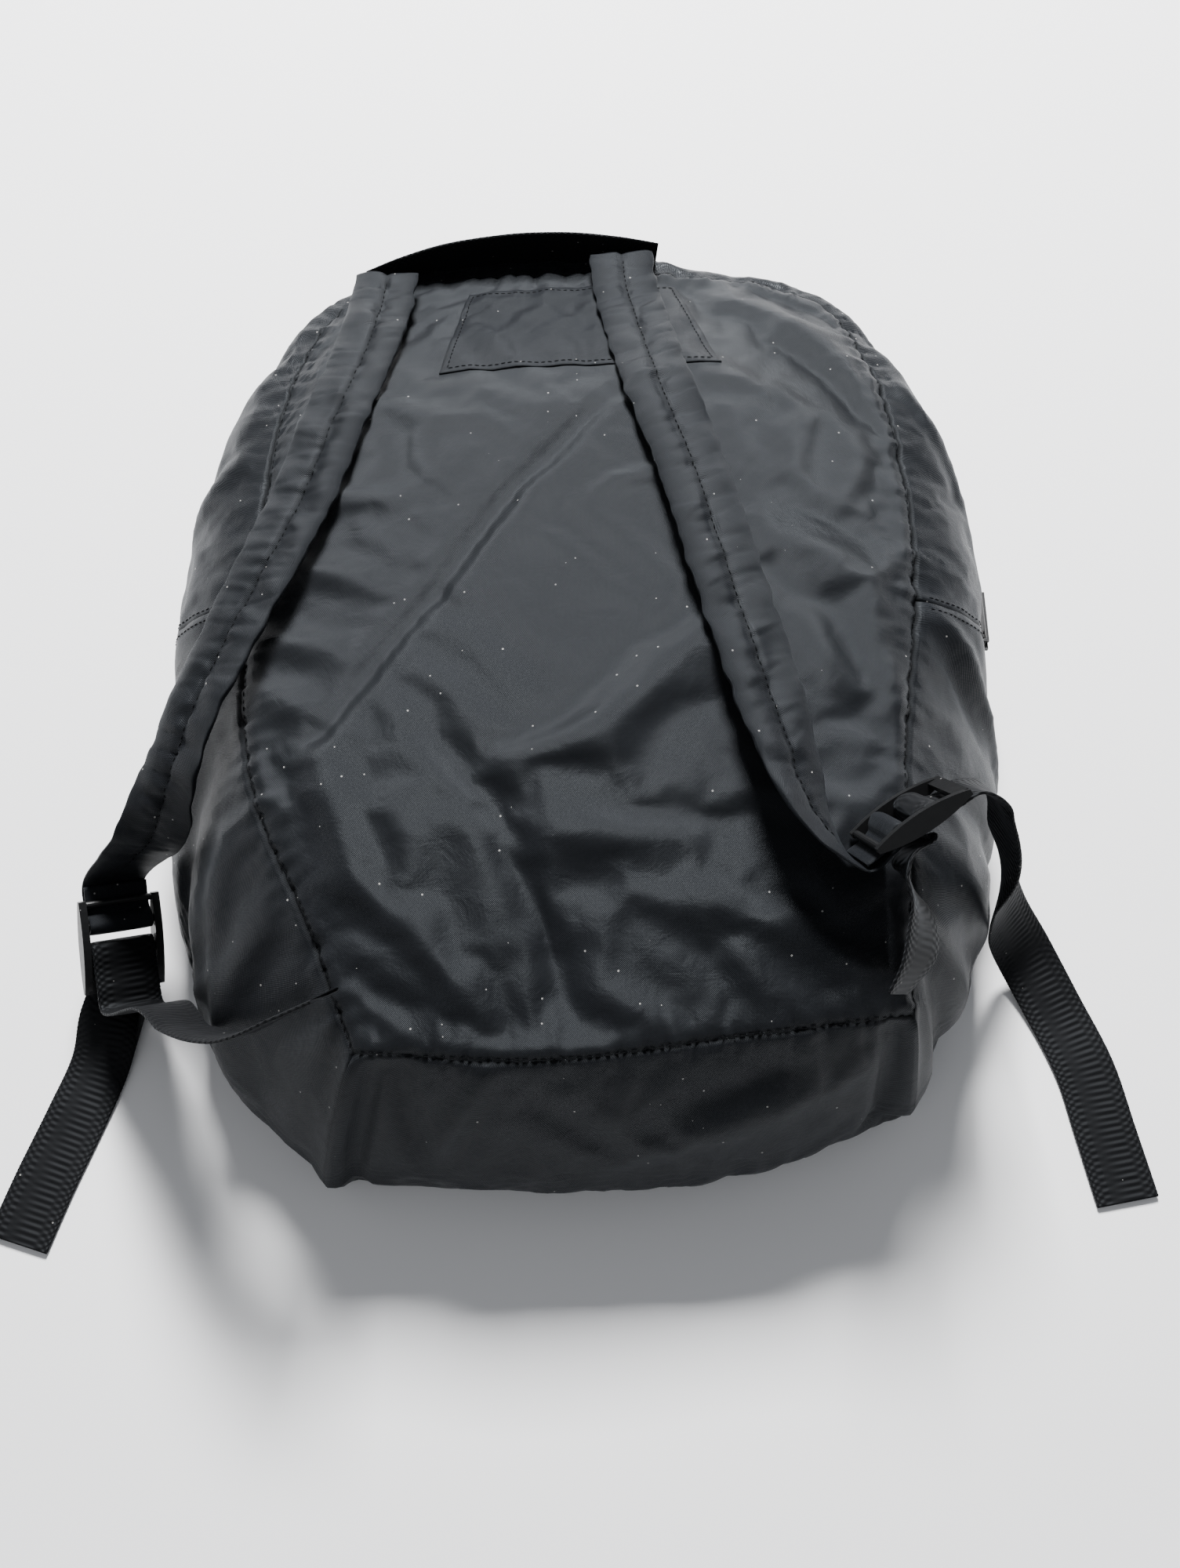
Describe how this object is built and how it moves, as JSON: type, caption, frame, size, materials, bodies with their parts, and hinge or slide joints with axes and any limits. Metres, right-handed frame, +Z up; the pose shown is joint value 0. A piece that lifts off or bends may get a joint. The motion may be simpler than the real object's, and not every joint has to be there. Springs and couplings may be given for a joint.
{
  "type": "skate bag",
  "caption": "Unpadded nylon skate bag worn as a backpack, with two flat shoulder straps, ladder locks, a grab handle and an arched zip, lying on its front.",
  "frame": {"origin": "centre of the whole object's footprint, on the floor it lies on", "axes": "+Z up, out of the back panel; +Y towards the top end with the grab handle; +X to the wearer's right-hand strap as seen from above"},
  "size_m": [0.4572, 0.4296, 0.1386],
  "materials": {
    "nylon": "satin",
    "zip_tape": "matte",
    "webbing": "matte",
    "buckle_plastic": "satin",
    "zip_coil": "satin",
    "zip_metal": "satin"
  },
  "bodies": {
    "bag": {"back_panel": "nylon", "front_panel": "nylon", "reinforcement_patch": "nylon", "bottom_gusset": "nylon", "left_side_gusset": "nylon", "right_side_gusset": "nylon", "zip_gusset_rear": "nylon", "zip_gusset_front": "nylon", "zip_coil_rear": "zip_coil", "zip_tape_rear": "zip_tape", "zip_coil_front": "zip_coil", "zip_tape_front": "zip_tape", "zip_stop_right": "zip_metal", "zip_stop_left": "zip_metal", "left_webbing": "webbing", "right_webbing": "webbing"},
    "left_strap": {"left_shoulder_strap": "nylon", "left_ladder_lock": "buckle_plastic"},
    "right_strap": {"right_shoulder_strap": "nylon", "right_ladder_lock": "buckle_plastic"},
    "handle": {"grab_handle": "webbing"},
    "slider": {"zip_slider": "zip_metal"},
    "pull": {"zip_pull": "zip_metal"}
  },
  "joints": [
    {"name": "left_strap_lift", "type": "hinge", "parent": "bag", "child": "left_strap", "pos_m": [-0.08467, 0.19182, 0.0945], "axis": [-1, 0, 0], "range_deg": [0, 15], "deforming": ["left_webbing"]},
    {"name": "right_strap_lift", "type": "hinge", "parent": "bag", "child": "right_strap", "pos_m": [0.01933, 0.20482, 0.0915], "axis": [-1, 0, 0], "range_deg": [0, 5], "deforming": ["right_webbing"]},
    {"name": "handle_tilt", "type": "hinge", "parent": "bag", "child": "handle", "pos_m": [-0.0292, 0.2083, 0.0727], "axis": [-0.9976, -0.0696, 0], "range_deg": [0, 35]},
    {"name": "zip_travel", "type": "hinge", "parent": "bag", "child": "slider", "pos_m": [0.00133, 0.03482, 0.045], "axis": [0, 0, 1], "range_deg": [0, 178]},
    {"name": "pull_swing", "type": "hinge", "parent": "slider", "child": "pull", "pos_m": [0.17359, 0.03116, 0.045], "axis": [0, 0, -1], "range_deg": [0, 100]}
  ]
}
